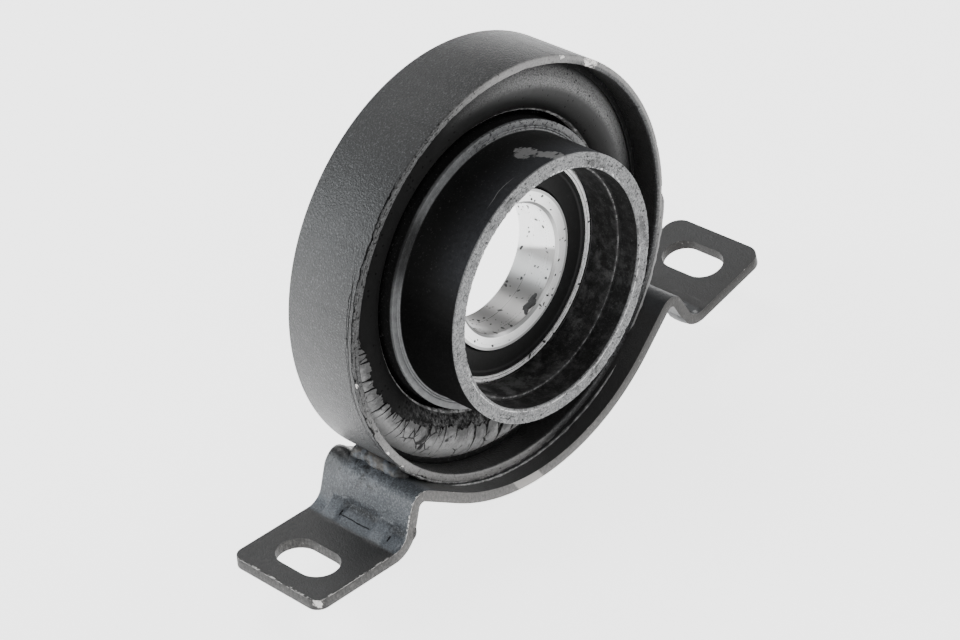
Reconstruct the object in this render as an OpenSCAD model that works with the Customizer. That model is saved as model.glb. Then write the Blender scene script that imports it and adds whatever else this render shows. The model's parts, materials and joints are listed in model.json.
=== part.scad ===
// Centre support bearing of a two-piece drive shaft
// The shaft turns along Y, the collar points to -Y, the two bolt tabs lie along X and Z is up
// The origin is the centre of the ball bearing

/* [Ball bearing] */
// Diameter of the hole that the shaft is pressed into
bore_d = 35; // [32:0.5:37]
// Outer diameter of the bearing
bearing_od = 62; // [60:0.5:66]
// Width of both races
bearing_w = 14; // [13:0.5:18]
// Diameter of one ball
ball_d = 7.938; // [7:0.1:8.4]
// Play left between a ball and the floor of each raceway
ball_play = 0.08; // [0.04:0.01:0.1]
// How much larger the raceway's radius is than the ball's
groove_ease = 0.16; // [0.12:0.02:0.3]
// Depth of the raceway below the race's shoulder
groove_depth = 1.47; // [1:0.05:1.6]
// Corner chamfer on the races
race_chamfer = 0.8; // [0.3:0.1:1.2]
// Radial width of the outer race's face outside the seal
race_rim = 2.1; // [1.6:0.1:2.6]

/* [Cage] */
// Sheet thickness of one cage half
cage_t = 0.7; // [0.5:0.05:0.9]
// Radial width of the cage band
cage_band = 3; // [2.4:0.1:3.4]
// Room between a ball and its pocket
pocket_gap = 0.2; // [0.12:0.02:0.3]
// Shank diameter of a cage rivet
rivet_d = 1.2; // [0.8:0.1:1.5]
// Head diameter of a cage rivet
rivet_head_d = 2.2; // [1.8:0.1:2.4]
// Height of a rivet head
rivet_head_h = 0.5; // [0.3:0.05:0.8]

/* [Seals] */
// Set-back of a seal from the face of the races
seal_set = 0.4; // [0.2:0.05:0.5]
// Thickness of a seal at its rim
seal_t = 1.1; // [0.9:0.05:1.2]
// Depth of the dish in a seal's face
seal_dish = 0.3; // [0.1:0.05:0.4]
// Room between the seal's lip and the turning race
seal_gap = 0.1; // [0.05:0.01:0.2]

/* [Rubber mount] */
// Outer diameter of the collar
collar_od = 72; // [70:0.5:74]
// Distance from the bearing's centre to the collar's cut end
collar_reach = 22.3; // [16:0.1:30]
// Diameter of the wider mouth in the collar's end
mouth_d = 64; // [63:0.5:66.5]
// Depth of that mouth
mouth_depth = 6.4; // [3:0.1:8]
// Diameter of the hub behind the collar
hub_d = 77.8; // [76:0.1:79]
// Distance from the bearing's centre to the hub's front face
hub_lead = 4; // [2:0.1:8]
// Distance from the bearing's centre to the back of the hub
hub_tail = 9.5; // [9:0.1:12]
// Reach of the lip that stops the bearing at the back
lip_reach = 2; // [1:0.1:4]
// Groove between the hub and the rolled wall
hub_groove = 1.5; // [1:0.1:2.5]
// Depth of that groove behind the bearing's centre
hub_groove_depth = 3; // [1:0.1:5]
// Wall thickness of the rolled rubber
roll_wall = 4.4; // [3.4:0.1:5]
// Distance from the bearing's centre to the crest of the roll
roll_lead = 3.7; // [2:0.1:6]
// Outer radius of the roll's crest
roll_r = 8.1; // [7.6:0.1:8.6]
// Thickness of the sleeve that is bonded inside the ring
sleeve_t = 1.5; // [1:0.1:2]
// Distance from the bearing's centre to the sleeve's front end
sleeve_lead = 1.3; // [0.5:0.1:3]
// Distance from the bearing's centre to the sleeve's back end
sleeve_tail = 12.6; // [11:0.1:14]

/* [Outer ring] */
// Outer diameter of the steel ring
ring_od = 114; // [112:0.5:117]
// Wall of the steel ring
ring_wall = 2.2; // [1.6:0.1:3]
// Distance from the bearing's centre to the ring's front edge
ring_lead = 8.9; // [6:0.1:12]
// Distance from the bearing's centre to the ring's back edge
ring_tail = 14.1; // [13:0.1:18]
// Small chamfer on the ring's edges
ring_edge = 0.4; // [0.2:0.05:0.7]

/* [Support strap] */
// Thickness of the strap's plate
strap_t = 3; // [2:0.1:4]
// Width of the strap along the shaft
strap_w = 31.7; // [28:0.1:40]
// Distance from the bearing's centre to the strap's back edge
strap_tail = 17; // [12:0.1:20]
// Gap between the ring and the strap's cradle
strap_gap = 0.5; // [0.1:0.1:0.8]
// Angle of the cradle on each side of straight down
wrap = 38; // [34:0.5:42]
// Straight run between the cradle and the fold
fold_lead = 12.7; // [10:0.1:15]
// Inner radius of the fold over the top
fold_r = 1.5; // [1:0.1:2.5]
// Lean of the wall that comes down from the fold, away from upright
wall_lean = 24; // [18:1:32]
// Inner radius of the bend into the tab
tab_bend_r = 3.5; // [2:0.1:4.5]

/* [Bolt tabs] */
// Distance between the two bolt slots
slot_spacing = 150; // [146:0.5:160]
// Drop from the bearing's centre to a tab's top at its slot
tab_drop = 46.2; // [44:0.1:50]
// Rise of each tab towards its outer end
tab_tilt = 7.1; // [0:0.1:10]
// Distance from the slot's middle to the tab's outer end
tab_end = 11.8; // [10:0.1:18]
// Corner radius of a tab
tab_corner_r = 5; // [2:0.1:8]
// Width of a bolt slot
slot_w = 11.4; // [8:0.1:13]
// Length of a bolt slot from end to end
slot_len = 19; // [16:0.1:24]

/* [Gussets and welds] */
// Radius of a pressed gusset
gusset_r = 3; // [2:0.1:3.6]
// Distance between the two gussets of one bend
gusset_spacing = 17; // [12:0.1:20]
// Reach of a gusset up the wall and out along the tab
gusset_reach = 4.4; // [3:0.1:5.5]
// Radius of the dent under a gusset
dent_r = 1.1; // [0.6:0.1:1.6]
// Radius of a weld bead
weld_r = 3.1; // [2.4:0.1:4]
// Distance from the bearing's centre to a weld's front end
weld_lead = 6.5; // [3:0.1:9]
// Distance from the bearing's centre to a weld's back end
weld_tail = 12.5; // [8:0.1:13]

/* [Hidden] */
$fn = 96;
ball_count = 11;
pitch_r = (bore_d + bearing_od) / 4;
ball_r = ball_d / 2;
groove_r = ball_r + groove_ease;
inner_r = pitch_r - ball_r - ball_play + groove_depth;
outer_r = pitch_r + ball_r + ball_play - groove_depth;
recess_r = bearing_od / 2 - race_rim;
half_w = bearing_w / 2;
recess = seal_set + seal_t;
pocket_r = ball_r + pocket_gap;
cage_in = pitch_r - cage_band / 2;
ring_in = ring_od / 2 - ring_wall;
sleeve_in = ring_in - sleeve_t;
hub_r = hub_d / 2;
lip_r = bearing_od / 2 - lip_reach;
roll_in = hub_r + hub_groove;
roll_mid = (roll_in + sleeve_in) / 2;
roll_y = roll_r - roll_lead;
cavity_r = roll_r - roll_wall;
cut_edge = 0.5;
past = 1;
rib_sides = 8;
bend_steps = 14;
cradle_steps = 30;

// Strap path along the plate's top face: cradle, straight run, fold, wall, bend, tab
cradle_r = ring_od / 2 + strap_gap;
strap_front = strap_tail - strap_w;
strap_mid = strap_tail - strap_w / 2;
fold_out = fold_r + strap_t;
drop_angle = 90 - wall_lean;
function heading(a) = [cos(a), sin(a)];
function leftward(a) = [-sin(a), cos(a)];
fold_start = -cradle_r * leftward(wrap) + fold_lead * heading(wrap);
fold_centre = fold_start - fold_out * leftward(wrap);
wall_start = fold_centre + fold_out * leftward(-drop_angle);
bend_shift = tab_bend_r * (leftward(-drop_angle) - leftward(tab_tilt));
slot_at = [slot_spacing / 2, -tab_drop];
wall_len = -((wall_start + bend_shift - slot_at) * leftward(tab_tilt))
    / (heading(-drop_angle) * leftward(tab_tilt));
wall_end = wall_start + wall_len * heading(-drop_angle);
bend_centre = wall_end + tab_bend_r * leftward(-drop_angle);
tab_start = wall_end + bend_shift;
tab_tip = slot_at + tab_end * heading(tab_tilt);
weld_at = ((ring_od / 2 + norm(fold_centre + [0, fold_out])) / 2) * fold_start / norm(fold_start);

// Turns an outline of radius and length into a solid about the shaft's axis
module spin() {
    rotate([-90, 0, 0]) rotate_extrude() children();
}

// Carries an outline in X and Z along the shaft's axis from one place to another
module along(from, to) {
    translate([0, to, 0]) rotate([90, 0, 0]) linear_extrude(to - from) children();
}

// Points along an arc of short straight steps
function arc(centre, r, from, to, steps) =
    [for (i = [0 : steps]) centre + r * heading(from + (to - from) * i / steps)];

// The right side's line from fold to tab end, a depth below the plate's top face
function arm_line(depth) = concat(
    arc(fold_centre, fold_out - depth, 90 + wrap, 90 - drop_angle, bend_steps),
    arc(bend_centre, tab_bend_r + depth, -90 - drop_angle, tab_tilt - 90, bend_steps),
    [tab_tip - depth * leftward(tab_tilt)]);

function reversed(points) = [for (i = [len(points) - 1 : -1 : 0]) points[i]];
function mirrored(points) = [for (p = points) [-p[0], p[1]]];

// The whole strap's line from one tab end to the other, a depth below the plate's top face
function strap_line(depth) = concat(
    reversed(mirrored(arm_line(depth))),
    arc([0, 0], cradle_r + depth, -90 - wrap, wrap - 90, cradle_steps),
    arm_line(depth));

module strap_section() {
    polygon(concat(strap_line(0), reversed(strap_line(strap_t))));
}

// Everything below the strap's top face
module under_strap() {
    floor_z = -2 * cradle_r;
    polygon(concat(strap_line(0), [[tab_tip[0], floor_z], [-tab_tip[0], floor_z]]));
}

// Places what is drawn about a slot's middle on the tab's top face
module on_tab() {
    translate([slot_at[0], strap_mid, slot_at[1]]) rotate([0, -tab_tilt, 0]) children();
}

// A bolt slot that runs along the shaft
module bolt_slot() {
    reach = (slot_len - slot_w) / 2;
    translate([0, 0, -strap_t - past]) {
        for (s = [-1, 1])
            translate([0, s * reach, 0]) cylinder(d = slot_w, h = strap_t + 2 * past);
        translate([-slot_w / 2, -reach, 0]) cube([slot_w, 2 * reach, strap_t + 2 * past]);
    }
}

// What is cut off to round a tab's two outer corners
module tab_corners() {
    for (s = [0, 1]) mirror([0, s, 0])
        translate([tab_end - tab_corner_r, strap_w / 2 - tab_corner_r, -strap_t - past])
            difference() {
                cube([tab_corner_r + past, tab_corner_r + past, strap_t + 2 * past]);
                cylinder(r = tab_corner_r, h = strap_t + 2 * past);
            }
}

// Where a gusset runs out on the wall and on the tab, and its slant between them
gusset_top = wall_end - gusset_reach * heading(-drop_angle);
gusset_foot = tab_start + gusset_reach * heading(tab_tilt);
gusset_run = gusset_foot - gusset_top;
slant = atan2(gusset_run[1], gusset_run[0]);

// Section of the corner that a gusset fills, down to the middle of the plate it is pressed from
module gusset_room() {
    polygon([gusset_top + 2 * gusset_r * leftward(slant),
        gusset_top - strap_t / 2 * leftward(-drop_angle),
        wall_end - strap_t / 2 * leftward(-drop_angle),
        tab_start - strap_t / 2 * leftward(tab_tilt),
        gusset_foot - strap_t / 2 * leftward(tab_tilt),
        gusset_foot + 2 * gusset_r * leftward(slant)]);
}

// Rods that slant across the bend from wall to tab, a depth below the line between their ends
module slant_rods(r, depth) {
    at = gusset_top - depth * leftward(slant);
    for (s = [-1, 1])
        translate([at[0], strap_mid + s * gusset_spacing / 2, at[1]])
            rotate([0, 90 - slant, 0])
            translate([0, 0, -past]) rotate(180 / rib_sides)
            cylinder(r = r / cos(180 / rib_sides), h = norm(gusset_run) + 2 * past, $fn = rib_sides);
}

// The two gussets of one bend
module gussets() {
    intersection() {
        slant_rods(gusset_r, gusset_r);
        along(strap_front, strap_tail) gusset_room();
    }
}

module outer_ring() {
    color([0.12, 0.12, 0.13]) spin() polygon([
        [ring_in + ring_edge, -ring_lead],
        [ring_od / 2 - ring_edge, -ring_lead],
        [ring_od / 2, -ring_lead + ring_edge],
        [ring_od / 2, ring_tail - ring_edge],
        [ring_od / 2 - ring_edge, ring_tail],
        [ring_in + ring_edge, ring_tail],
        [ring_in, ring_tail - ring_edge],
        [ring_in, -ring_lead + ring_edge]]);
}

// Draws what is given for the right side on both sides
module both_sides() {
    children();
    mirror([1, 0, 0]) children();
}

module support_strap() {
    color([0.16, 0.16, 0.17]) difference() {
        union() {
            along(strap_front, strap_tail) strap_section();
            both_sides() gussets();
        }
        both_sides() on_tab() bolt_slot();
        both_sides() on_tab() tab_corners();
        both_sides() slant_rods(dent_r, gusset_r + strap_t + tab_bend_r / 2);
    }
}

// A fillet weld in the corner between the ring and the strap's fold
module weld_bead() {
    along(-weld_lead, weld_tail) difference() {
        translate(weld_at) circle(weld_r);
        circle(ring_od / 2);
        under_strap();
    }
}

module weld_left() {
    color([0.2, 0.2, 0.21]) mirror([1, 0, 0]) weld_bead();
}

module weld_right() {
    color([0.2, 0.2, 0.21]) weld_bead();
}

// Section of the moulded rubber: collar, hub, rolled wall and bonded sleeve
module rubber_section() {
    difference() {
        union() {
            polygon([
                [lip_r, hub_tail],
                [lip_r, -collar_reach],
                [collar_od / 2 - cut_edge, -collar_reach],
                [collar_od / 2, -collar_reach + cut_edge],
                [collar_od / 2, -hub_lead - cut_edge],
                [collar_od / 2 + cut_edge, -hub_lead],
                [hub_r - cut_edge, -hub_lead],
                [hub_r, -hub_lead + cut_edge],
                [hub_r, hub_groove_depth],
                [roll_in, hub_groove_depth],
                [roll_in, hub_tail]]);
            intersection() {
                translate([roll_mid, roll_y]) circle(roll_r);
                translate([roll_in, -collar_reach])
                    square([sleeve_in - roll_in, collar_reach + roll_y]);
            }
            translate([roll_in, roll_y]) square([sleeve_in - roll_in, hub_tail - roll_y]);
            translate([sleeve_in, -sleeve_lead]) square([sleeve_t, sleeve_lead + sleeve_tail]);
        }
        translate([roll_mid, roll_y]) circle(cavity_r);
        translate([roll_mid - cavity_r, roll_y]) square([2 * cavity_r, sleeve_tail]);
        translate([0, -collar_reach - past]) square([mouth_d / 2, mouth_depth + past]);
        translate([0, -collar_reach]) square([bearing_od / 2, collar_reach + half_w]);
    }
}

module rubber_mount() {
    color([0.07, 0.07, 0.08]) spin() rubber_section();
}

module outer_race() {
    color([0.75, 0.76, 0.78]) spin() difference() {
        polygon([
            [recess_r, -half_w],
            [bearing_od / 2 - race_chamfer, -half_w],
            [bearing_od / 2, -half_w + race_chamfer],
            [bearing_od / 2, half_w - race_chamfer],
            [bearing_od / 2 - race_chamfer, half_w],
            [recess_r, half_w],
            [recess_r, half_w - recess],
            [outer_r, half_w - recess],
            [outer_r, -half_w + recess],
            [recess_r, -half_w + recess]]);
        translate([pitch_r + ball_play - groove_ease, 0]) circle(groove_r);
    }
}

module inner_race() {
    color([0.78, 0.79, 0.8]) spin() difference() {
        polygon([
            [bore_d / 2 + race_chamfer, -half_w],
            [inner_r, -half_w],
            [inner_r, half_w],
            [bore_d / 2 + race_chamfer, half_w],
            [bore_d / 2, half_w - race_chamfer],
            [bore_d / 2, -half_w + race_chamfer]]);
        translate([pitch_r - ball_play + groove_ease, 0]) circle(groove_r);
    }
}

// A dished seal at the front face, held in the outer race's recess
module seal() {
    edge_r = inner_r + seal_gap;
    rim_w = (recess_r - outer_r) / 2;
    spin() translate([0, -half_w + seal_set]) polygon([
        [recess_r, 0],
        [recess_r - rim_w, 0],
        [recess_r - 1.5 * rim_w, seal_dish],
        [edge_r + 2 * seal_dish, seal_dish],
        [edge_r + seal_dish, 0],
        [edge_r, seal_dish],
        [edge_r, seal_t - seal_dish],
        [edge_r + seal_dish, seal_t],
        [recess_r, seal_t]]);
}

module seal_front() {
    color([0.05, 0.05, 0.05]) seal();
}

module seal_rear() {
    color([0.05, 0.05, 0.05]) mirror([0, 1, 0]) seal();
}

// Places what follows at each ball, or halfway between two of them
module round_pitch(step) {
    for (i = [0 : ball_count - 1])
        rotate([0, (i + step) * 360 / ball_count, 0]) translate([pitch_r, 0, 0]) children();
}

// Places a rod that points at the shaft through each ball
module ball_rods(r) {
    round_pitch(0) rotate([0, 90, 0]) cylinder(r = r, h = 3 * cage_band, center = true);
}

// The front half of the pressed cage, a ribbon that bows round each ball
module cage_half() {
    difference() {
        intersection() {
            spin() translate([cage_in, -ball_d]) square([cage_band, ball_d]);
            union() {
                spin() translate([cage_in, -cage_t]) square([cage_band, cage_t]);
                ball_rods(pocket_r + cage_t);
            }
        }
        ball_rods(pocket_r);
        round_pitch(0.5) rotate([90, 0, 0]) cylinder(d = rivet_d, h = ball_d, center = true);
    }
}

module cage_front() {
    color([0.6, 0.61, 0.63]) cage_half();
}

module cage_rear() {
    color([0.6, 0.61, 0.63]) mirror([0, 1, 0]) cage_half();
}

module cage_rivets() {
    color([0.66, 0.66, 0.67]) round_pitch(0.5) rotate([90, 0, 0]) {
        cylinder(d = rivet_d, h = 2 * cage_t, center = true);
        for (s = [0, 1]) mirror([0, 0, s])
            translate([0, 0, cage_t]) cylinder(d = rivet_head_d, h = rivet_head_h);
    }
}

module ball(i) {
    color([0.82, 0.83, 0.84]) rotate([0, i * 360 / ball_count, 0]) translate([pitch_r, 0, 0]) sphere(ball_r);
}

outer_ring();
support_strap();
weld_left();
weld_right();
rubber_mount();
outer_race();
inner_race();
seal_front();
seal_rear();
cage_front();
cage_rear();
cage_rivets();
ball(0);  // ball_01
ball(1);  // ball_02
ball(2);  // ball_03
ball(3);  // ball_04
ball(4);  // ball_05
ball(5);  // ball_06
ball(6);  // ball_07
ball(7);  // ball_08
ball(8);  // ball_09
ball(9);  // ball_10
ball(10);  // ball_11
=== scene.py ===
import json
import math
import random
import bpy
from mathutils import Matrix, Vector, noise


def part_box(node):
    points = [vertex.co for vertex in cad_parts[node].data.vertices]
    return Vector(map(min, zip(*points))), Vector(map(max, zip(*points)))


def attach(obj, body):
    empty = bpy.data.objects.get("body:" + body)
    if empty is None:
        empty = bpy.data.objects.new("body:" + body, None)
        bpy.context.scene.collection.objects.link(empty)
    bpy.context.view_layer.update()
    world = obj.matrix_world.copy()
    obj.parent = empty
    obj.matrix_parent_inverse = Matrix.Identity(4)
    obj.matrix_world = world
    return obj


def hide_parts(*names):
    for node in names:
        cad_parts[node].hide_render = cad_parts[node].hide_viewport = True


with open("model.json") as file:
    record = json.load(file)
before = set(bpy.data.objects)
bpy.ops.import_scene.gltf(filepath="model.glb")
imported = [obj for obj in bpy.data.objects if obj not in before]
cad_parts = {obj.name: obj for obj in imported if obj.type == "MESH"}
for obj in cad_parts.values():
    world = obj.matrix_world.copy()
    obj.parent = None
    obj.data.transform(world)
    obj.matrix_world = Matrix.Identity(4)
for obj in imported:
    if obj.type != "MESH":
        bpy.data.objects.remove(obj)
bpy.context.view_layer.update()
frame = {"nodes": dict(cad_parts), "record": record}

# Outer ring
# A short length of drawn steel tube, coated satin black, with its front rim rubbed pale and chipped.
# The rubber is bonded inside it, and two welds hold it in the strap's cradle.
mm = 0.001
ring_low, ring_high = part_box("outer_ring")
ring_r = ring_high.x
ring_wall = 2.2 * mm
ring_inner = ring_r - ring_wall
ring_front = ring_low.y
ring_back = ring_high.y
rim_edge = 0.45 * mm
rim_dent = 0.3 * mm
dent_reach = 1.4 * mm
dent_wide = 2.6 * mm
dent_fine = 1.1 * mm
ring_steps = 720
smooth_under = math.radians(50)
rim_chips = ((50, 5.2), (179, 1.3), (-155, 1.2), (62, 2.0), (-147, 0.9))


class Tone:
    """A shader socket that takes part in sums."""

    def __init__(self, finish, socket):
        self.finish = finish
        self.socket = socket

    def work(self, operation, first, second):
        return self.finish.add("Math", {"operation": operation}, {0: first, 1: second})

    def __add__(self, other):
        return self.work("ADD", self, other)

    def __radd__(self, other):
        return self.work("ADD", other, self)

    def __sub__(self, other):
        return self.work("SUBTRACT", self, other)

    def __rsub__(self, other):
        return self.work("SUBTRACT", other, self)

    def __mul__(self, other):
        return self.work("MULTIPLY", self, other)

    def __rmul__(self, other):
        return self.work("MULTIPLY", other, self)


class Finish:
    """A surface finish: a material whose patterns are placed in millimetres on the part."""

    def __init__(self, name):
        self.material = bpy.data.materials.new(name)
        self.material.use_nodes = True
        self.tree = self.material.node_tree
        self.shader = self.tree.nodes["Principled BSDF"]
        self.place = self.add("TexCoord", out="Object")

    def feed(self, socket, value):
        if isinstance(value, Tone):
            self.tree.links.new(value.socket, socket)
        else:
            socket.default_value = value

    def add(self, kind, settings={}, sockets={}, out=0):
        node = self.tree.nodes.new("ShaderNode" + kind)
        for key, value in settings.items():
            setattr(node, key, value)
        for key, value in sockets.items():
            self.feed(node.inputs[key], value)
        return Tone(self, node.outputs[out])

    def coat(self, **values):
        for key, value in values.items():
            self.feed(self.shader.inputs[key.replace("_", " ")], value)

    def along(self, axis):
        return self.add("SeparateXYZ", {}, {0: self.place}, out=axis) * (1 / mm)

    def radius(self):
        flat = self.stretched(1, 0, 1)
        return self.add("VectorMath", {"operation": "LENGTH"}, {0: flat}, out="Value") * (1 / mm)

    def stretched(self, x, y, z):
        return self.add("VectorMath", {"operation": "MULTIPLY"}, {0: self.place, 1: (x, y, z)})

    def near(self, point, reach):
        away = self.add("VectorMath", {"operation": "DISTANCE"}, {0: self.place, 1: point}, out="Value")
        return self.ramp(away * (1 / mm), reach, 0.3 * reach)

    def cloud(self, size, detail=3, rough=0.55, place=None):
        where = {"Vector": place or self.place, "Scale": 1 / (size * mm)}
        return self.add("TexNoise", {}, where | {"Detail": detail, "Roughness": rough}, out="Fac")

    def cells(self, size, feature="F1", place=None):
        where = {"Vector": place or self.place, "Scale": 1 / (size * mm)}
        return self.add("TexVoronoi", {"feature": feature}, where, out="Distance")

    def ramp(self, value, low, high):
        ends = {0: value, 1: low, 2: high, 3: 0.0, 4: 1.0}
        return self.add("MapRange", {"interpolation_type": "SMOOTHSTEP", "clamp": True}, ends)

    def fade(self, axis, low, high):
        return self.ramp(self.along(axis), low, high)

    def blotch(self, low, high, size, detail=3, rough=0.55):
        return self.ramp(self.cloud(size, detail, rough), low, high)

    def band(self, value, low, high, soft):
        return self.ramp(value, low - soft, low + soft) * self.ramp(value, high + soft, high - soft)

    def tint(self, factor, first, second):
        colours = {0: factor, 6: first, 7: second}
        return self.add("Mix", {"data_type": "RGBA"}, colours, out=2)

    def layers(self, colour, *coats):
        """Lays colours over a first one, each with its own cover."""
        for cover, over in coats:
            colour = self.tint(cover, colour, over)
        return colour

    def relief(self, height, depth):
        return self.add("Bump", {}, {"Height": height, "Distance": depth * mm, "Strength": 1.0})


def grey(level, warm=0.0):
    return (level * (1 + warm), level, level * (1 - warm), 1)


def draw_line(name, points):
    """Starts a piece as a line of edges through points."""
    bpy.ops.object.select_all(action="DESELECT")
    bpy.ops.mesh.primitive_plane_add(size=mm, location=points[0])
    piece = bpy.context.object
    piece.name = name
    piece.data.name = name
    bpy.ops.object.transform_apply()
    bpy.ops.object.mode_set(mode="EDIT")
    bpy.ops.mesh.merge(type="CENTER")
    for before, after in zip(points, points[1:]):
        step = Vector(after) - Vector(before)
        bpy.ops.mesh.extrude_region_move(TRANSFORM_OT_translate={"value": step})
    bpy.ops.mesh.select_all(action="SELECT")
    return piece


def close_skin():
    bpy.ops.object.mode_set(mode="EDIT")
    bpy.ops.mesh.select_all(action="SELECT")
    bpy.ops.mesh.remove_doubles(threshold=0.001 * mm)
    bpy.ops.mesh.normals_make_consistent(inside=False)
    bpy.ops.object.mode_set(mode="OBJECT")


def turn_piece(name, outline, steps, centre=(0, 0, 0), start=0.0, sweep=math.tau):
    """Turns an outline of (radius, depth) pairs about the shaft's direction through centre."""
    middle = Vector(centre)
    points = [middle + Vector((r * math.cos(start), y, r * math.sin(start))) for r, y in outline]
    piece = draw_line(name, points)
    bpy.ops.mesh.spin(steps=steps, angle=sweep, center=centre, axis=(0, 1, 0))
    close_skin()
    return piece


def apply_modifier(piece, name, kind, **settings):
    modifier = piece.modifiers.new(name, kind)
    for key, value in settings.items():
        setattr(modifier, key, value)
    bpy.ops.object.modifier_apply(modifier=name)


def round_edges(piece, width, segments=3, sharper_than=40, edge_finish=-1):
    apply_modifier(piece, "edges", "BEVEL", width=width, segments=segments, limit_method="ANGLE",
                   angle_limit=math.radians(sharper_than), material=edge_finish)
    bpy.ops.object.shade_smooth_by_angle(angle=smooth_under)


def push_points(piece, move):
    for vertex in piece.data.vertices:
        vertex.co += move(vertex.co.copy())
    piece.data.update()


def settle(piece, body, slot, finishes, *nodes):
    """Gives a finished piece its materials, and puts it in the place of the nodes that it stands for."""
    for finish in finishes:
        piece.data.materials.append(finish.material)
    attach(piece, body)
    if nodes:
        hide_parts(*nodes)


def smooth_step(value, low, high):
    part = min(max((value - low) / (high - low), 0), 1)
    return part * part * (3 - 2 * part)


def rough(point, size, seed=0):
    """Smooth noise from -1 to 1 whose lumps are about size across."""
    return noise.noise(point / size + Vector((seed, seed * 0.37, -seed)))


def round_axis(radius, depth, degrees):
    """A point at a radius, a depth along the shaft and an angle about it."""
    angle = math.radians(degrees)
    return Vector((radius * math.cos(angle), depth, radius * math.sin(angle)))


def outward(point):
    return Vector((point.x, 0, point.z)).normalized()


def dent_rim(point):
    """Nibbles the front rim's two edges, deepest where the noise peaks."""
    nearness = smooth_step(point.y, ring_front + dent_reach, ring_front)
    bite = max(rough(point, dent_wide) - 0.3, 0) + max(rough(point, dent_fine, 5) - 0.4, 0)
    middle = ring_r - ring_wall / 2
    side = 1 if Vector((point.x, point.z)).length > middle else -1
    return (Vector((0, 1, 0)) - side * outward(point)) * nearness * bite * rim_dent


ring_outline = [(ring_r, ring_front), (ring_r, ring_back), (ring_inner, ring_back), (ring_inner, ring_front)]
ring = turn_piece("ring_shell", ring_outline + ring_outline[:1], ring_steps)
round_edges(ring, rim_edge)
push_points(ring, dent_rim)

ring_coat = Finish("ring_coat")
rim_depth = ring_coat.along("Y") - ring_front / mm
radial = ring_coat.radius()
ring_out = ring_r / mm
ring_in = ring_inner / mm
grain = ring_coat.cloud(0.45, 2, 0.6)
leather = ring_coat.cells(0.55, "SMOOTH_F1")
nibble = ring_coat.cloud(1.4, 4, 0.7)
rim_wear = ring_coat.ramp(rim_depth + nibble * 0.8, 1.05, 0.5)
crack_side = ring_coat.fade("X", -30, -35)
wander = ring_coat.cloud(5.5, 4, 0.65)
crack = ring_coat.band(rim_depth + 2.6 * wander, 1.62, 1.98, 0.06) * crack_side
far_crack = ring_coat.band(rim_depth + 2.2 * ring_coat.cloud(9, 4, 0.6), 2.75, 3.05, 0.06)
far_crack = far_crack + ring_coat.band(rim_depth + 2.2 * wander, 3.3, 3.5, 0.06)
crack = crack + far_crack * ring_coat.fade("X", -47, -52)
crack = crack * ring_coat.ramp(radial, ring_out - 0.8, ring_out - 0.4)
upper_left = ring_coat.ramp(ring_coat.along("Z") * 0.57 - ring_coat.along("X") * 0.82, 25, 48)
lower_right = ring_coat.ramp(ring_coat.along("X") * 0.57 - ring_coat.along("Z") * 0.82, 41, 50)
fine_cracks = ring_coat.ramp(ring_coat.cloud(1.1, 3, 0.7) + 0.05 * upper_left, 0.60, 0.66) * rim_wear
seam = ring_coat.band(radial + 0.5 * wander, ring_out - 0.55, ring_out - 0.3, 0.06)
seam = seam * ring_coat.ramp(rim_depth, 0.4, 0.1)
seam = seam * ring_coat.blotch(0.46, 0.54, 1.6, 4, 0.7) * upper_left
fine_cracks = fine_cracks + seam
right_side = ring_coat.fade("X", 28, 42)
right_inner = ring_coat.fade("X", 22, 38) * ring_coat.ramp(radial, ring_out - 0.9, ring_out - 1.5)
bare = ring_coat.near(round_axis(ring_r, ring_front, rim_chips[0][0]), rim_chips[0][1])
for degrees, reach in rim_chips[1:]:
    bare = bare + ring_coat.near(round_axis(ring_r, ring_front, degrees), reach)
bare = ring_coat.ramp(bare * rim_wear * (2.4 * ring_coat.cloud(1.0, 4, 0.75) - 0.6), 0.42, 0.55)
shaded = ring_coat.ramp(radial, ring_in + 0.3, ring_in + 0.05) * ring_coat.ramp(rim_depth, 0.3, 1.2)
worn_colour = ring_coat.tint(ring_coat.cloud(0.8, 4, 0.7), grey(0.05, 0.01), grey(0.24, 0.02))
rubbed = rim_wear * (1 - 0.9 * upper_left) * (1 - 0.9 * lower_right) * (1 - right_inner)
dulled = rim_wear * (0.4 * upper_left + 0.45 * lower_right + 0.25 * right_side)
ring_colour = ring_coat.layers(
    grey(0.020),
    (ring_coat.cloud(16, 4), grey(0.030, -0.03)),
    (ring_coat.ramp(grain, 0.54, 0.70) * 0.8, grey(0.11, -0.03)),
    (0.9 * shaded, grey(0.005, 0.03)),
    (rubbed, worn_colour),
    (0.95 * crack + 0.8 * fine_cracks, grey(0.004)),
    (bare, grey(0.62, 0.03)))
ring_coat.coat(Base_Color=ring_colour,
               Metallic=0.95 * crack + 0.6 * fine_cracks + dulled,
               Roughness=0.36 + 0.16 * ring_coat.cloud(2.4, 3) + 0.12 * rim_wear,
               Normal=ring_coat.relief(0.9 * grain + 0.5 * leather - 0.8 * crack - 0.5 * bare, 0.2))
settle(ring, "housing", "ring_paint", [ring_coat], "outer_ring")

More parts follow.
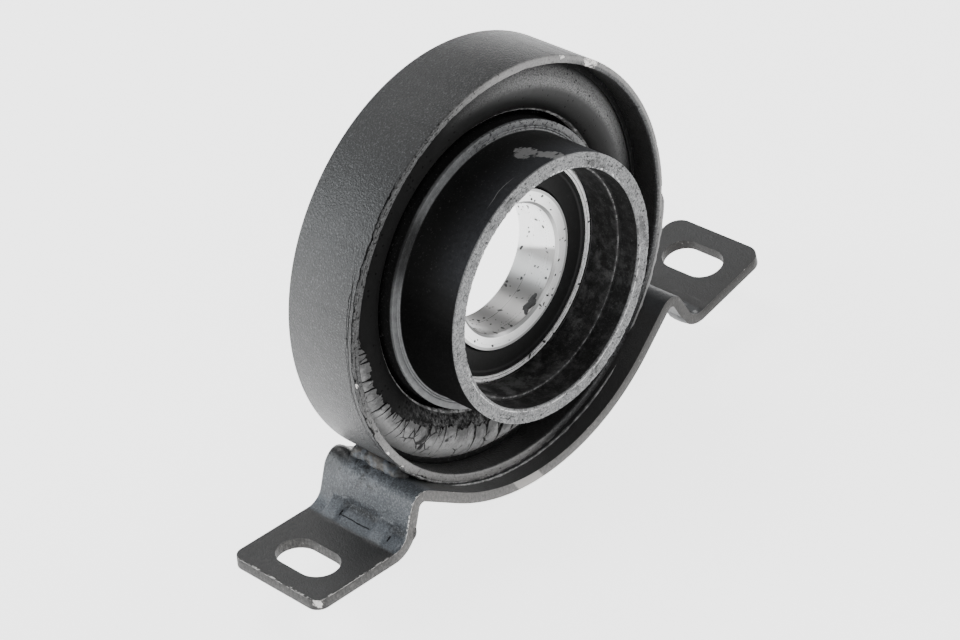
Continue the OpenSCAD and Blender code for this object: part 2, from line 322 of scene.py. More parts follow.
# Support strap
# One strip of 3 mm steel, pressed to a cradle under the ring, a fold and a leaning wall on each side, and two
# slotted tabs, each stiffened by two pressed ribs. It is coated dark grey, and its sheared edges are chipped.
strap_low, strap_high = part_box("support_strap")
strap_front = strap_low.y
strap_back = strap_high.y
floor_z = strap_low.z
strap_t = 3 * mm
ring_play = 0.5 * mm
cradle_wrap = math.radians(38)
fold_lead = 12.7 * mm
fold_r = 4.5 * mm
wall_drop = math.radians(-66)
bend_r = 5.2 * mm
tab_tilt = math.radians(7.1)
tab_reach = 11.8 * mm
left_corner = 3.4 * mm
right_corner = 4.8 * mm
tabs = next(mount for mount in frame["record"]["mounts"] if mount["name"] == "bolt_tabs")
slot_at = Vector((tabs["dims"]["spacing_x_mm"] / 2 * mm, tabs["pos_m"][1], tabs["pos_m"][2]))
slot_r = tabs["dims"]["hole_r_mm"] * mm
slot_half = tabs["dims"]["slot_length_mm"] / 2 * mm - slot_r
plate_cell = 0.75 * mm
row_cell = 0.5 * mm
bend_cell = 0.4 * mm
rib_gap = 17 * mm
rib_half = 3.4 * mm
rib_side = 1.5 * mm
rib_up = 0.5 * mm
rib_out = 0.4 * mm
rib_crown = 0.25 * mm
ledge_rise = 0.3 * mm
ledge_end = 0.8 * mm
scoop_up = 1.6 * mm
scoop_depth = 0.45 * mm
bulge_at = Vector((47.6, 14.8, -36.6)) * mm
bulge_reach = 4.6 * mm
bulge_rise = 1.0 * mm
edge_round = 0.35 * mm


def heading(angle):
    return Vector((math.cos(angle), 0, math.sin(angle)))


def leftward(angle):
    return Vector((-math.sin(angle), 0, math.cos(angle)))


def arc_points(centre, radius, start, end, cell):
    steps = max(8, round(abs(end - start) * radius / cell))
    return [centre + radius * heading(start + (end - start) * k / steps) for k in range(steps + 1)]


def straight_points(start, end, cell):
    steps = max(2, round((end - start).length / cell))
    return [start.lerp(end, k / steps) for k in range(1, steps)]


cradle_r = ring_r + ring_play
quarter = math.pi / 2
cradle_end = cradle_r * heading(cradle_wrap - quarter)
fold_start = cradle_end + fold_lead * heading(cradle_wrap)
fold_centre = fold_start - fold_r * leftward(cradle_wrap)
wall_start = fold_centre + fold_r * leftward(wall_drop)
slot_flat = Vector((slot_at.x, 0, slot_at.z))
tab_normal = leftward(tab_tilt)
wall_run = (slot_flat - wall_start).dot(tab_normal) / heading(wall_drop).dot(tab_normal)
corner_at = wall_start + wall_run * heading(wall_drop)
bend_set = bend_r * math.tan((tab_tilt - wall_drop) / 2)
wall_end = corner_at - bend_set * heading(wall_drop)
tab_start = corner_at + bend_set * heading(tab_tilt)
bend_centre = tab_start + bend_r * tab_normal
tab_tip = slot_flat + tab_reach * heading(tab_tilt)

cradle_line = arc_points(Vector((0, 0, 0)), cradle_r, -quarter, cradle_wrap - quarter, plate_cell)
fold_line = arc_points(fold_centre, fold_r, cradle_wrap + quarter, wall_drop + quarter, bend_cell)
bend_line = arc_points(bend_centre, bend_r, wall_drop - quarter, tab_tilt - quarter, bend_cell)
right_line = (cradle_line + straight_points(cradle_end, fold_start, plate_cell) + fold_line
              + straight_points(wall_start, wall_end, bend_cell) + bend_line
              + straight_points(tab_start, tab_tip, plate_cell) + [tab_tip])
strap_line = [Vector((-point.x, 0, point.z)) for point in reversed(right_line[1:])] + right_line

rib_top = wall_end - rib_up * heading(wall_drop)
rib_foot = tab_start + rib_out * heading(tab_tilt)
rib_run = rib_foot - rib_top
rib_normal = Vector((-rib_run.z, 0, rib_run.x)).normalized()
ledge_top = bend_line[len(bend_line) // 3]
ledge_run = tab_start - ledge_top
ledge_normal = Vector((-ledge_run.z, 0, ledge_run.x)).normalized()
scoop_top = wall_end - scoop_up * heading(wall_drop)
scoop_run = (ledge_top - scoop_top).dot(heading(wall_drop))


def on_right(point):
    return Vector((abs(point.x), point.y, point.z))


def on_side(step, point):
    return Vector((math.copysign(step.x, step.x * point.x), step.y, step.z))


def press_ribs(point):
    """Fills the corner between wall and tab with two soft ribs, and scoops ledges beside them."""
    here = on_right(point)
    flat = Vector((here.x, 0, here.z))
    aside = slot_at.y - here.y
    rib = smooth_step(abs(abs(aside) - rib_gap / 2), rib_half, rib_half - rib_side)
    lift = Vector((0, 0, 0))
    share = (flat - rib_top).dot(rib_run) / rib_run.length_squared
    if 0 < share < 1:
        height = (rib_top - flat).dot(rib_normal) + rib_crown * math.sin(math.pi * share)
        lift = rib_normal * height * rib
    if abs(aside) < rib_gap / 2 or aside > 0 and here.y > strap_front + ledge_end:
        ledge_share = (flat - ledge_top).dot(ledge_run) / ledge_run.length_squared
        if 0 <= ledge_share <= 1:
            height = (ledge_top - flat).dot(ledge_normal) + ledge_rise * (1 - 0.6 * ledge_share)
            lift += ledge_normal * height * (1 - rib)
        scoop_share = (flat - scoop_top).dot(heading(wall_drop)) / scoop_run
        if 0 < scoop_share < 1:
            lift -= leftward(wall_drop) * scoop_depth * math.sin(math.pi * scoop_share) ** 2 * (1 - rib)
    return on_side(lift, point)


def swell_fold(point):
    """Rounds the fold's back end up to a smooth bulge."""
    here = on_right(point)
    nearness = smooth_step((here - bulge_at).length, bulge_reach, 0)
    swell = (here - Vector((fold_centre.x, here.y, fold_centre.z))).normalized() * bulge_rise * nearness
    return on_side(swell, point)


def round_corner(point):
    """Draws the tab's two square corners in to arcs."""
    here = on_right(point)
    corner = right_corner if point.x > 0 else left_corner
    out = (Vector((here.x, 0, here.z)) - tab_tip).dot(heading(tab_tilt)) + corner
    side = 1 if here.y > slot_at.y else -1
    edge = strap_back if side > 0 else strap_front
    across = side * (here.y - edge) + corner
    if out <= 0 or across <= 0:
        return Vector((0, 0, 0))
    near = out * math.sqrt(1 - (across / corner) ** 2 / 2) - out
    wide = across * math.sqrt(1 - (out / corner) ** 2 / 2) - across
    return on_side(heading(tab_tilt) * near + Vector((0, side * wide, 0)), point)


def slot_distance(point):
    """How far a point of a tab lies from its slot's edge, and the way out from the slot's middle line."""
    here = on_right(point)
    out = (here - slot_at).dot(heading(tab_tilt))
    along = here.y - slot_at.y
    past = along - min(max(along, -slot_half), slot_half)
    direction = heading(tab_tilt) * out + Vector((0, past, 0))
    return Vector((out, past)).length - slot_r, on_side(direction.normalized(), point)


def round_slot(point):
    return abs(abs(point.x) - slot_at.x) < slot_r + 2 * plate_cell


strap = draw_line("strap_plate", [point + Vector((0, strap_front, 0)) for point in strap_line])
rows = round((strap_back - strap_front) / row_cell)
for row in range(rows):
    step = (0, (strap_back - strap_front) / rows, 0)
    bpy.ops.mesh.extrude_region_move(TRANSFORM_OT_translate={"value": step})
close_skin()
for move in (press_ribs, swell_fold, round_corner):
    push_points(strap, move)
bpy.ops.object.mode_set(mode="EDIT")
bpy.ops.mesh.select_mode(type="FACE")
bpy.ops.mesh.select_all(action="DESELECT")
bpy.ops.object.mode_set(mode="OBJECT")
for face in strap.data.polygons:
    face.select = round_slot(face.center) and slot_distance(face.center)[0] < 0
bpy.ops.object.mode_set(mode="EDIT")
bpy.ops.mesh.delete(type="FACE")
bpy.ops.mesh.select_mode(type="VERT")
bpy.ops.mesh.select_all(action="DESELECT")
bpy.ops.mesh.select_non_manifold(extend=False, use_boundary=True)
bpy.ops.object.mode_set(mode="OBJECT")
for vertex in strap.data.vertices:
    gap, way = slot_distance(vertex.co)
    if vertex.select and round_slot(vertex.co) and abs(gap) < 2 * plate_cell:
        vertex.co -= gap * way
upright = sum(face.normal.z for face in strap.data.polygons if abs(face.center.x) < cradle_end.x)
bpy.ops.object.mode_set(mode="EDIT")
bpy.ops.mesh.select_all(action="SELECT")
if upright < 0:
    bpy.ops.mesh.flip_normals()
bpy.ops.object.mode_set(mode="OBJECT")

paint = Finish("strap_coat")
grain = paint.cloud(0.42, 2, 0.6)
pebble = paint.cloud(1.3, 3, 0.55)
outwards = paint.add("Math", {"operation": "ABSOLUTE"}, {0: paint.along("X")})
bend_out = tab_start.x / mm
# Painted light: the leaning wall between the fold and the bend is painted lighter and bluish, most on the
# left side, where the left panel lights it.
high = paint.ramp(outwards + 1.5 * paint.cloud(3, 3), bend_out + 1.4, bend_out - 0.4)
high = high * paint.ramp(outwards, fold_start.x / mm - 4, fold_start.x / mm + 1)
aside = paint.along("Y") - slot_at.y / mm
# Painted shade: thin dark lines in the crease along the ledge's top and down the ribs' sides.
ledge_shade_line = paint.band(outwards + 0.6 * paint.cloud(5, 3), bend_out - 2.2, bend_out - 1.95, 0.07)
ledge_shade_line = ledge_shade_line * paint.band(aside, -4.6, 5.4, 0.4)
rib_shade_lines = paint.band(aside, 5.55, 5.85, 0.08) + paint.band(aside, -11.7, -11.4, 0.08)
ledge_shade_line = ledge_shade_line + rib_shade_lines * paint.band(outwards, bend_out - 3.3, bend_out - 1.9, 0.2)
left_side = paint.fade("X", 10, -10)
ledge_shade_line = ledge_shade_line * left_side
between_ribs = paint.band(aside, -4.6, 5.0, 1.1) + paint.band(aside, -15.0, -12.0, 0.9)
# Painted light: the rib pads in the wall's bend are painted lighter and bluish on the left, where the left
# panel lights them.
lit_pads = paint.band(outwards, bend_out - 4.4, bend_out - 0.2, 0.6) * (0.4 + paint.cloud(2.5, 4, 0.7))
lit_pads = lit_pads * left_side
# Painted shade: the recess above the ledges, between the ribs, is painted darker.
scoop_shade = paint.band(outwards + paint.cloud(2, 3), bend_out - 5.3, bend_out - 4.2, 0.6) * between_ribs
tar = paint.near((-bulge_at.x, bulge_at.y, bulge_at.z), 7.0)
by_weld = paint.band(outwards, fold_centre.x / mm - 4, fold_centre.x / mm + 4.5, 1.2)
by_weld = by_weld * paint.band(paint.along("Y"), -5, 12, 2)
spatter = paint.cloud(2.8, 4, 0.62)
edge_zone = paint.fade("Y", strap_front / mm + 0.75, strap_front / mm + 0.4)
edge_zone = edge_zone + paint.ramp(outwards, tab_tip.x / mm - 0.8, tab_tip.x / mm - 0.45)
edge_chip = paint.ramp(edge_zone * paint.cloud(1.5, 5, 0.75), 0.52, 0.58)
edge_chip = edge_chip * paint.fade("X", -44, -48)
speckle = paint.cloud(0.5, 3, 0.7)
# Painted glints: light speckles on the painted-light wall, shown on the left side only.
painted_glints = paint.ramp(speckle, 0.5, 0.64) * high
soot = paint.ramp(speckle, 0.46, 0.34) * high
hatch = paint.cloud(2.2, 5, 0.75, paint.stretched(1, 0.12, 1))
cross_hatch = paint.cloud(2.6, 5, 0.75, paint.stretched(0.15, 1, 1))
scratch = paint.ramp(hatch, 0.62, 0.70) + paint.ramp(cross_hatch, 0.64, 0.72)
# Painted light: the two bluish tones of the lit wall.
lit_wall_dim = (0.040, 0.046, 0.053, 1)
lit_wall_bright = (0.088, 0.099, 0.112, 1)
strap_colour = paint.layers(
    grey(0.034),
    (paint.cloud(9, 4), grey(0.050)),
    (high * (0.3 + 0.55 * left_side), paint.tint(paint.cloud(4.5, 4, 0.65), lit_wall_dim, lit_wall_bright)),
    (0.7 * lit_pads, (0.115, 0.13, 0.148, 1)),
    (0.8 * scoop_shade, grey(0.010)),
    (by_weld * paint.ramp(spatter, 0.5, 0.62), (0.12, 0.132, 0.147, 1)),
    (by_weld * paint.ramp(spatter, 0.46, 0.38), grey(0.008)),
    (0.6 * painted_glints * left_side, (0.19, 0.205, 0.225, 1)),
    (0.6 * soot, grey(0.015)),
    (0.3 * scratch, grey(0.13)),
    (0.95 * tar, grey(0.008)),
    (0.85 * ledge_shade_line, grey(0.006)),
    (edge_chip, grey(0.72, 0.02)))
bumps = 0.9 * grain + pebble - 2 * ledge_shade_line + 4 * spatter * by_weld
paint.coat(Base_Color=strap_colour,
           Metallic=0.8 * ledge_shade_line,
           Roughness=0.34 + 0.18 * paint.cloud(2.2, 3) - 0.12 * tar + 0.25 * scoop_shade,
           Normal=paint.relief(bumps, 0.11))
shear = Finish("sheared_edge")
streak = shear.cloud(0.7, 5, 0.75, shear.stretched(1, 1, 0.6))
edge_light = shear.ramp(streak, 0.36, 0.66)
tab_colour = shear.tint(edge_light, grey(0.012, 0.02), grey(0.06, 0.04))
outwards = shear.add("Math", {"operation": "ABSOLUTE"}, {0: shear.along("X")})
on_tab = shear.ramp(outwards, bend_out - 3, bend_out + 2)
slant = shear.along("X") + 0.5 * (shear.along("Z") - floor_z / mm)
bare_patch = shear.band(slant, -14.6, -6.4, 0.25) * shear.fade("Y", 0, -8)
bare_patch = bare_patch * shear.fade("Z", -40, -50)
corner_chip = shear.near((-tab_tip.x + mm, strap_front + mm, tab_tip.z - mm), 2.6)
corner_chip = shear.ramp(corner_chip * (2.6 * streak - 0.6), 0.5, 0.6)
# Painted shade: the sheared edge is painted darker towards the right.
right_side = shear.fade("X", 5, 45)
edge_colour = shear.layers(
    grey(0.03, 0.03),
    (edge_light, grey(0.085, 0.05)),
    (on_tab, tab_colour),
    (0.8 * right_side, grey(0.015, 0.05)),
    (0.5 * shear.ramp(streak, 0.6, 0.68), grey(0.3, 0.03)),
    (bare_patch, grey(0.19, 0.05)),
    (corner_chip, grey(0.5, 0.03)))
shear.coat(Base_Color=edge_colour,
           Metallic=(0.25 + 0.25 * right_side + 0.25 * on_tab) * (1 - 0.5 * bare_patch),
           Roughness=0.42 + 0.2 * streak,
           Normal=shear.relief(streak, 0.14))
chips = Finish("chipped_edge")
left_tab = chips.fade("X", -44, -48)
edge_chip = chips.ramp(chips.cloud(1.6, 5, 0.75) + 0.15 * left_tab, 0.6, 0.66)
edge_colour = chips.tint(chips.cloud(0.7, 3), grey(0.03, 0.02), grey(0.09, 0.04))
chips.coat(Base_Color=chips.tint(edge_chip, edge_colour, grey(0.75, 0.03)),
           Roughness=0.4 + 0.2 * chips.cloud(1.0, 3),
           Normal=chips.relief(edge_chip, 0.1))
settle(strap, "housing", "strap_paint", [paint, shear, chips], "support_strap")
apply_modifier(strap, "plate", "SOLIDIFY", thickness=strap_t, offset=-1, material_offset_rim=1)
corner_of = {}
for face in strap.data.polygons:
    for key in face.edge_keys:
        corner_of.setdefault(key, set()).add(face.material_index)
weights = strap.data.attributes.new("bevel_weight_edge", "FLOAT", "EDGE")
for edge in strap.data.edges:
    middle = (strap.data.vertices[edge.vertices[0]].co + strap.data.vertices[edge.vertices[1]].co) / 2
    punched = round_slot(middle) and slot_distance(middle)[0] < 2 * plate_cell
    weights.data[edge.index].value = 1.0 if len(corner_of[edge.key]) == 2 and not punched else 0.0
apply_modifier(strap, "edges", "BEVEL", width=edge_round, segments=2, limit_method="WEIGHT", material=2)
bpy.ops.object.shade_smooth_by_angle(angle=smooth_under)

# Welds
# Two beads of weld metal, one along each side, where the strap's straight flank leaves the ring.
# Each is low and lumpy, blue-grey under a thin mist of the coat, with brown scorch and black soot in patches.
weld_low, weld_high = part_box("weld_right")
weld_at = Vector(((weld_low.x + weld_high.x) / 2, 0, (weld_low.z + weld_high.z) / 2))
weld_r = 2.5 * mm
bead_pitch = 2.6 * mm
bead_ridge = 0.08 * mm
bead_rings = 90
bead_steps = 44
bead_lumps = ((0.8, 4.6, 3), (0.4, 2.1, 9), (0.12, 0.7, 4))


def bead_outline(start, end, radius):
    """Half the outline of a bead with rounded ends and a ridge for each puddle."""
    outline = []
    for k in range(bead_rings + 1):
        depth = start + (end - start) * k / bead_rings
        into = min(depth - start, end - depth)
        end_round = math.sqrt(max(1 - (1 - min(into / radius, 1)) ** 2, 0))
        ridge = abs(math.sin(math.pi * (depth - start) / bead_pitch)) * bead_ridge
        outline.append(((radius - ridge) * end_round, depth))
    return outline


def lump_bead(point):
    """Swells a bead out and in by lumps of a rise and a size in millimetres."""
    middle = Vector((math.copysign(weld_at.x, point.x), point.y, weld_at.z))
    swell = sum(rise * rough(point, size * mm, seed) for rise, size, seed in bead_lumps)
    return (point - middle).normalized() * swell * mm


weld_metal = Finish("weld_metal")
scorch = weld_metal.cloud(2.2, 4, 0.65)
soot = weld_metal.blotch(0.5, 0.62, 3.5, 4, 0.6)
# Black sealant and painted shade: the bead's front end, by the rim, is painted near black.
front_sealant_and_shade = weld_metal.fade("Y", -1, -6)
bead_colour = weld_metal.layers(
    (0.10, 0.11, 0.124, 1),
    (weld_metal.ramp(scorch, 0.42, 0.6), (0.09, 0.083, 0.075, 1)),
    (0.85 * soot, grey(0.010)),
    (0.85 * front_sealant_and_shade, grey(0.010)))
weld_metal.coat(Base_Color=bead_colour,
                Roughness=0.36 + 0.3 * weld_metal.cloud(1.0, 3),
                Normal=weld_metal.relief(weld_metal.cloud(0.6, 4, 0.6), 0.22))
for side, node in ((-1, "weld_left"), (1, "weld_right")):
    outline = bead_outline(weld_low.y, weld_high.y, weld_r)
    bead = turn_piece("bead_" + node, outline, bead_steps, (side * weld_at.x, 0, weld_at.z))
    push_points(bead, lump_bead)
    bpy.ops.object.shade_smooth()
    settle(bead, "housing", "weld_paint", [weld_metal], node)

# Rubber mount
# One moulding of black rubber: a sleeve bonded to the ring, a rolled web that lets the shaft shake, a hub
# round the bearing, and a long collar whose end was cut off rough. Handling has rubbed its shoulder pale.
mount_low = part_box("rubber_mount")[0]
sleeve_r = 53.3 * mm
sleeve_front = -1.3 * mm
sleeve_back = 12.6 * mm
roll_mid = 46.85 * mm
roll_depth = 4.4 * mm
roll_r = 8.1 * mm
hollow_r = 3.7 * mm
web_inner = 40.4 * mm
hub_r = 38.9 * mm
hub_front = -4 * mm
hub_back = 9.5 * mm
groove_end = 3 * mm
collar_r = 36 * mm
collar_end = mount_low.y
mouth_r = 32 * mm
mouth_end = -15.9 * mm
seat_r = 31 * mm
bearing_half = 7 * mm
lip_r = 29 * mm
end_cells = 10
roll_steps = 40
hollow_steps = 24
mount_steps = 540
mount_edge = 0.3 * mm
cut_reach = 1.2 * mm
cut_tears = ((0.3, 1.5, 2), (0.18, 0.6, 7))
nick_reach = 0.6 * mm
nick_size = 2.4 * mm
shoulder_mid = 37.5 * mm
shoulder_lines = (36.5 * mm, 37.1 * mm)
line_half = 0.14 * mm
line_depth = 0.28 * mm


def roll_point(angle, radius=roll_r):
    """A point of the rolled web: angle 0 is its crest, and positive angles lie nearer the ring."""
    return roll_mid + radius * math.sin(angle), roll_depth - radius * math.cos(angle)


def shoulder_groove(radius):
    """A fine moulding line sunk into the hub's shoulder."""
    bottom = (radius, hub_front + line_depth)
    return [(radius + line_half, hub_front), bottom, (radius - line_half, hub_front)]


roll_edge = math.asin((sleeve_r - roll_mid) / roll_r)
roll_front = [roll_point(roll_edge - 2 * roll_edge * k / roll_steps) for k in range(roll_steps + 1)]
hollow_back = [roll_point(-quarter + math.pi * k / hollow_steps, hollow_r) for k in range(hollow_steps + 1)]
cut_face = [(collar_r + (mouth_r - collar_r) * k / end_cells, collar_end) for k in range(end_cells + 1)]
mount_outline = (
    [(ring_inner, sleeve_back), (ring_inner, sleeve_front), (sleeve_r, sleeve_front)]
    + roll_front
    + [(web_inner, groove_end), (hub_r, groove_end), (hub_r, hub_front)]
    + shoulder_groove(shoulder_lines[1]) + shoulder_groove(shoulder_lines[0])
    + [(collar_r, hub_front)]
    + cut_face
    + [(mouth_r, mouth_end), (seat_r, mouth_end), (seat_r, bearing_half)]
    + [(lip_r, bearing_half), (lip_r, hub_back)]
    + [(roll_mid - hollow_r, hub_back)] + hollow_back + [(roll_mid + hollow_r, sleeve_back)])


def roughen_mount(point):
    """Tears the collar's cut end and wears the hub's shoulder."""
    cut = smooth_step(point.y, collar_end + cut_reach, collar_end)
    tear = sum(abs(rise * rough(point, size * mm, seed)) for rise, size, seed in cut_tears)
    beyond_collar = smooth_step(Vector((point.x, point.z)).length, collar_r, collar_r + mount_edge)
    worn = smooth_step(abs(point.y - hub_front), nick_reach, 0) * beyond_collar
    nick = max(rough(point, nick_size, 6) - 0.25, 0) * 0.5 * worn
    return Vector((0, 1, 0)) * (cut * tear + nick) * mm


mount = turn_piece("mount_moulding", mount_outline + mount_outline[:1], mount_steps)
round_edges(mount, mount_edge, 2, 50)
push_points(mount, roughen_mount)

rubber = Finish("moulded_rubber")
radial = rubber.radius()
depth = rubber.along("Y")
velvet = rubber.cloud(0.35, 3, 0.7)
dust = rubber.cloud(4, 5, 0.65)
hub_out = hub_r / mm
web_in = web_inner / mm
collar_out = collar_r / mm
mouth_in = mouth_r / mm
seat_in = seat_r / mm
web = rubber.band(radial, web_in, sleeve_r / mm, 0.2)
pits = rubber.ramp(rubber.cells(1.7), 0.22, 0.14) * rubber.blotch(0.42, 0.52, 6, 2) * web
shoulder = rubber.band(radial, collar_out + 0.15, hub_out + 0.2, 0.15) * rubber.ramp(depth, -2.9, -3.6)
shoulder = shoulder * (1 - 0.8 * rubber.near(round_axis(shoulder_mid, hub_front, 142), 13))
flecks = shoulder * rubber.blotch(0.52, 0.6, 0.9, 4, 0.75) * rubber.fade("X", -12, 4)
flecks = flecks * rubber.fade("Z", 8, 28)
# Painted highlight: light dashes along the web's inner lip.
lip_highlight = rubber.band(radial, web_in - 0.2, web_in + 0.5, 0.15) * rubber.ramp(depth, 1.2, 0.2)
# The web's right part is glossier, and is also painted a little lighter there: painted light.
satin_and_lit_right = rubber.fade("X", -16, 18) * web
# Painted shade: the groove between the web and the hub is painted nearly black.
groove_shade = rubber.band(radial, hub_out - 0.1, web_in + 0.1, 0.1) * rubber.ramp(depth, -1.5, 1.0)
step_line = rubber.band(radial, seat_in + 0.05, seat_in + 0.45, 0.1)
step_line = step_line * rubber.band(depth, mouth_end / mm - 0.4, mouth_end / mm + 0.4, 0.1)
dashes = rubber.blotch(0.47, 0.57, 1.6, 4, 0.7)
collar_wall = rubber.band(radial, collar_out - 0.2, collar_out + 0.2, 0.1)
inside = rubber.ramp(radial, mouth_in + 0.2, mouth_in - 0.2)
mouth_dust = inside * rubber.fade("Z", 4, -18) * rubber.blotch(0.46, 0.66, 4.5, 5, 0.75)
cut = rubber.ramp(depth, collar_end / mm + 0.75, collar_end / mm + 0.3)
cut_streak = rubber.band(radial + 0.6 * rubber.cloud(9, 3), mouth_in + 0.9, mouth_in + 1.1, 0.08)
cut_streak = cut_streak * rubber.fade("Z", 5, -12) * rubber.blotch(0.44, 0.54, 2.2, 4, 0.7)
cut_bits = rubber.band(radial, mouth_in + 0.1, mouth_in + 0.6, 0.15) * rubber.blotch(0.56, 0.62, 1.0)
cut_bits = cut_bits * rubber.fade("Z", 8, 20)
drag_marks = rubber.band(radial + 1.1 * rubber.cloud(7, 3), collar_out - 0.65, collar_out - 0.45, 0.07)
inner_marks = rubber.band(radial + 1.3 * rubber.cloud(5, 3), collar_out - 1.5, collar_out - 1.32, 0.06)
drag_marks = (drag_marks + inner_marks) * rubber.blotch(0.5, 0.58, 1.7, 4, 0.7)
speckle = rubber.blotch(0.36, 0.62, 0.45, 3, 0.75)
gouge = rubber.blotch(0.57, 0.63, 1.3, 5, 0.75)
lint = rubber.blotch(0.62, 0.70, 0.55, 2, 0.6)
web_dust = web * rubber.fade("Z", -16, -34) * rubber.blotch(0.42, 0.64, 1.2, 5, 0.8)
# Dust and a painted highlight: the roll's outer half is painted pale grey towards the upper right.
web_sheen_and_dust = rubber.band(radial, 47.5, 52.5, 1.2) * rubber.fade("Z", -5, 25)
web_sheen_and_dust = web_sheen_and_dust * (0.45 * satin_and_lit_right + 0.55 * rubber.fade("X", 4, 30) * web)
# Dust and a painted bluish sheen on the collar's outer wall, near its end and towards the top.
collar_sheen_and_dust = rubber.ramp(depth, -9, collar_end / mm) * collar_wall * rubber.cloud(1.2, 5, 0.8)
smear_spread = rubber.near(round_axis(collar_r, -14 * mm, 82), 6.5)
smear_spread = smear_spread + rubber.near(round_axis(collar_r, -20 * mm, 76), 5.0)
smear_cloud = rubber.cloud(3.2, 4, 0.6, rubber.stretched(1, 1.8, 1))
smear = rubber.ramp(smear_spread * (0.25 + smear_cloud), 0.62, 0.72)
scuff = rubber.band(depth + 2.2 * rubber.cloud(11, 2), -17.95, -17.80, 0.07) * collar_wall
scuff = scuff * rubber.near(round_axis(collar_r, -18.8 * mm, 106), 6.5)
rubber_colour = rubber.layers(
    grey(0.0045),
    (dust, grey(0.011)),
    (0.7 * satin_and_lit_right, grey(0.011)),
    (web_sheen_and_dust * rubber.ramp(velvet, 0.25, 0.7), grey(0.2)),
    (web_dust, grey(0.10)),
    (groove_shade, grey(0.001)),
    (inside * rubber.blotch(0.42, 0.7, 2.5, 5, 0.8), grey(0.030)),
    (mouth_dust, grey(0.055)),
    (collar_sheen_and_dust * rubber.fade("Z", 10, 24), (0.055, 0.058, 0.066, 1)),
    (0.5 * lint * (1 - web), grey(0.06)),
    # Painted shade: the collar's outer wall is painted near black towards the bottom.
    (0.8 * collar_wall * rubber.fade("Z", 26, 10), grey(0.001)),
    (0.9 * pits, grey(0.003)),
    (shoulder * (0.75 + 0.2 * dashes), grey(0.16, -0.02)),
    (0.85 * flecks, grey(0.008)),
    (lip_highlight * (0.25 + 0.7 * dashes), grey(0.4)),
    (step_line * (0.2 + 0.7 * dashes), grey(0.19)),
    (0.8 * smear + 0.9 * scuff, grey(0.22)),
    (cut * (0.4 + 0.6 * speckle), grey(0.25, -0.01)),
    (0.7 * cut * rubber.blotch(0.52, 0.66, 6, 5, 0.75), grey(0.06)),
    (cut * (0.85 * gouge + 0.8 * drag_marks), grey(0.015)),
    (cut * (cut_streak + cut_bits), grey(0.6)))
gloss = 0.4 * satin_and_lit_right * (0.2 + 0.8 * rubber.ramp(radial, 43.5, 48))
gloss = gloss + 0.3 * collar_wall * rubber.fade("Z", 5, 23)
gloss = gloss + 0.4 * shoulder * (1 - 0.8 * flecks) + 0.3 * smear + 0.16 * inside + 0.5 * lip_highlight * dashes
rubber.coat(Base_Color=rubber_colour,
            Roughness=0.74 - 0.36 * satin_and_lit_right - 0.26 * shoulder - 0.2 * smear + 0.26 * groove_shade + 0.4 * pits,
            Specular_IOR_Level=0.03,
            Coat_Weight=gloss,
            Coat_Roughness=0.42,
            Normal=rubber.relief(velvet * (1 - 0.75 * web) - 0.7 * pits - 0.4 * cut * gouge, 0.14))
settle(mount, "housing", "mount_rubber", [rubber], "rubber_mount")

# Flaking film
# A skin of dried bonding lacquer on the web's lower left. It has split into plates across the web, small ones
# at the left and larger ones lower down, with cracks that open towards their ragged inner edges.
film_start = math.radians(163)
film_end = math.radians(268)
film_t = 0.2 * mm
film_gap = 0.03 * mm
film_lift = 0.05 * mm
film_smooth = math.radians(40)
film_seed = 11
film_across = 10
film_down = 26


def film_inner(share):
    """The roll angle where the film ends, up the web."""
    low = 0.45 - 0.33 * smooth_step(share, 0, 0.2) - 0.46 * smooth_step(share, 0.24, 0.73)
    return low + 0.45 * smooth_step(share, 0.84, 1.0)


def lay_plate(start, end, chance):
    """One plate of film from angle start to end round the web, with wandering edges."""
    bpy.ops.object.select_all(action="DESELECT")
    bpy.ops.mesh.primitive_grid_add(x_subdivisions=film_across, y_subdivisions=film_down, size=2)
    plate = bpy.context.object
    curl = chance.uniform(0.05, 0.45) * mm
    lean = chance.uniform(-1, 1)
    bow = chance.uniform(-0.02, 0.02)
    share = ((start + end) / 2 - film_start) / (film_end - film_start)
    outer = roll_edge * 0.97
    inner = film_inner(share) + chance.uniform(-0.06, 0.06)
    gape = chance.uniform(0.1, 0.35 + 0.6 * share) * mm / roll_mid
    for vertex in plate.data.vertices:
        across = vertex.co.x
        down = (vertex.co.y + 1) / 2
        narrow = 1 - gape * down ** 3 / (end - start) * 2
        angle = (start + end) / 2 + (end - start) / 2 * across * narrow + bow * down * (1 - down)
        angle += 0.004 * rough(Vector((angle * 90, down * 5, 0)), 1.0, film_seed)
        ragged = 0.1 * rough(Vector((angle * 45, 0, 0)), 1.0, film_seed + 3)
        roll_angle = outer + (inner + ragged * down - outer) * down
        lift = film_lift + curl * max(across * lean, 0) ** 2 * down + curl * 0.7 * down ** 5
        r, y = roll_point(roll_angle, roll_r + lift)
        vertex.co = Vector((r * math.cos(angle), y, r * math.sin(angle)))
    return plate


def join_pieces(name, pieces):
    bpy.ops.object.select_all(action="DESELECT")
    for piece in pieces:
        piece.select_set(True)
    bpy.context.view_layer.objects.active = pieces[0]
    bpy.ops.object.join()
    pieces[0].name = name
    pieces[0].data.name = name
    return pieces[0]


chance = random.Random(film_seed)
plates = []
angle = film_start
while angle < film_end:
    share = (angle - film_start) / (film_end - film_start)
    turn = chance.uniform(1.6, 3.2) * mm * (1 + 0.8 * smooth_step(share, 0.25, 0.6)) / roll_mid
    plates.append(lay_plate(angle + film_gap / roll_mid, angle + turn, chance))
    angle += turn
film = join_pieces("flaking_film", plates)
apply_modifier(film, "skin", "SOLIDIFY", thickness=film_t, offset=1)
bpy.ops.object.shade_smooth_by_angle(angle=film_smooth)

